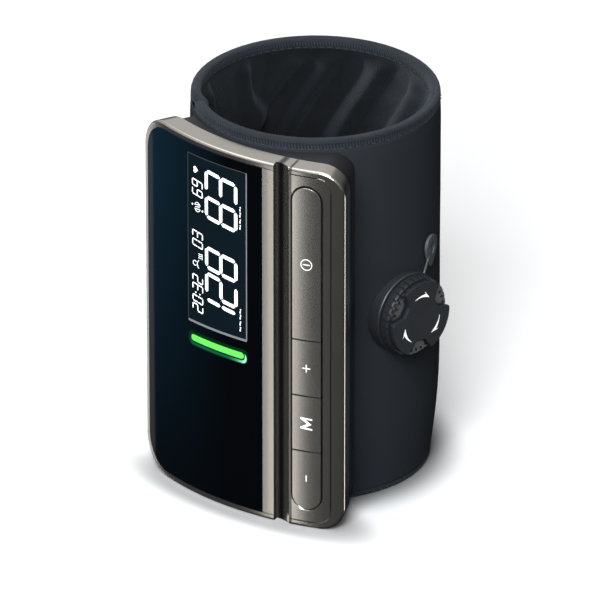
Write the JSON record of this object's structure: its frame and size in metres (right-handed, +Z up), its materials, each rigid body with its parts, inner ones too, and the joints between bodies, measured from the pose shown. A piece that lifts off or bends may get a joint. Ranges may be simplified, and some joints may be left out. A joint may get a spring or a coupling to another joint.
{
  "type": "blood pressure cuff",
  "caption": "Tubeless upper-arm blood pressure cuff: curled fabric sleeve with a display unit, button column and a lace-tightening dial.",
  "frame": {"origin": "on the cuff's axis, at the floor that the lower binding and the display unit stand on", "axes": "+Z up along the cuff's axis, the display unit faces -Y, the dial faces nearly +X"},
  "size_m": [0.106, 0.1061, 0.152],
  "materials": {
    "metallic_shell": "satin metallic lacquer, warm pewter",
    "key_shell": "satin metallic lacquer, darker pewter",
    "black_shell": "fine moulded grain",
    "smoked_glass": "polished, almost black",
    "lcd": "dark panel with lit segments",
    "green_lamp": "lit diffuser",
    "silicone": "matt",
    "circuit_board": "solder mask",
    "component": "moulded",
    "cell_wrap": "shrink wrap",
    "steel": "bright",
    "brass": "turned",
    "sleeve_fabric": "smooth satin knit, dark slate",
    "lining_mesh": "fine open mesh, black",
    "binding_tape": "folded knit tape, stitched, slate grey",
    "polymer_sheet": "milky sheet",
    "bladder_film": "smooth film",
    "dial_black": "fine moulded grain",
    "dial_cap": "soft-touch, printed arrows",
    "lace": "coated wire strand",
    "guide_grey": "moulded, grey"
  },
  "bodies": {
    "monitor_and_cuff": {"front_housing": "metallic_shell", "rear_housing": "black_shell", "display_glass": "smoked_glass", "lcd_module": "lcd", "light_bar": "green_lamp", "keypad_mat": "silicone", "key_board": "circuit_board", "main_board": "circuit_board", "processor_chip": "component", "pressure_sensor": "component", "battery_cells": "cell_wrap", "usb_port": "steel", "housing_screws": "steel", "mounting_screws": "steel", "pump_motor": "steel", "pump_head": "black_shell", "release_valve": "component", "air_tube": "silicone", "air_nipple": "black_shell", "cuff_plate": "black_shell", "outer_sleeve": "sleeve_fabric", "shell_sheet": "polymer_sheet", "air_bladder": "bladder_film", "inner_lining": "lining_mesh", "top_binding": "binding_tape", "bottom_binding": "binding_tape", "overlap_gusset": "lining_mesh", "dial_base": "dial_black", "dial_post": "dial_black", "post_retainer": "steel", "tension_lace": "lace", "lace_anchor": "guide_grey", "lace_guide": "guide_grey"},
    "power_key": {"power_button": "key_shell"},
    "plus_key": {"plus_button": "key_shell"},
    "memory_key": {"memory_button": "key_shell"},
    "minus_key": {"minus_button": "key_shell"},
    "detent": {"detent_sleeve": "steel"},
    "knob": {"dial_knob": "dial_black", "knob_cap": "dial_cap", "pawl_ring": "dial_black"},
    "spool": {"lace_spool": "dial_black", "lace_winding": "lace"},
    "rotor": {"pump_rotor": "steel"},
    "plunger": {"valve_plunger": "brass"}
  },
  "joints": [
    {"name": "power_press", "type": "slide", "parent": "monitor_and_cuff", "child": "power_key", "axis": [-0.2974, 0.9548, 0], "range_m": [0, 0.0007], "stiffness_N_per_m": 400},
    {"name": "plus_press", "type": "slide", "parent": "monitor_and_cuff", "child": "plus_key", "axis": [-0.2974, 0.9548, 0], "range_m": [0, 0.0007], "stiffness_N_per_m": 400},
    {"name": "memory_press", "type": "slide", "parent": "monitor_and_cuff", "child": "memory_key", "axis": [-0.2974, 0.9548, 0], "range_m": [0, 0.0007], "stiffness_N_per_m": 400},
    {"name": "minus_press", "type": "slide", "parent": "monitor_and_cuff", "child": "minus_key", "axis": [-0.2974, 0.9548, 0], "range_m": [0, 0.0007], "stiffness_N_per_m": 400},
    {"name": "dial_pull", "type": "slide", "parent": "monitor_and_cuff", "child": "detent", "axis": [0.9893, -0.1461, 0], "range_m": [0, 0.003]},
    {"name": "dial_spin", "type": "hinge", "parent": "detent", "child": "knob", "pos_m": [0, 0, 0.0754], "axis": [0.9893, -0.1461, 0], "continuous": true},
    {"name": "spool_spin", "type": "hinge", "parent": "monitor_and_cuff", "child": "spool", "pos_m": [0, 0, 0.0754], "axis": [0.9893, -0.1461, 0], "continuous": true},
    {"name": "pump_spin", "type": "hinge", "parent": "monitor_and_cuff", "child": "rotor", "pos_m": [0.03647, -0.0405, 0.034], "axis": [0, 0, 1], "continuous": true},
    {"name": "valve_stroke", "type": "slide", "parent": "monitor_and_cuff", "child": "plunger", "axis": [0, 0, 1], "range_m": [0, 0.0012], "stiffness_N_per_m": 30}
  ],
  "couplings": [
    {"joint": "spool_spin", "follows": "dial_spin", "ratio": 1}
  ]
}
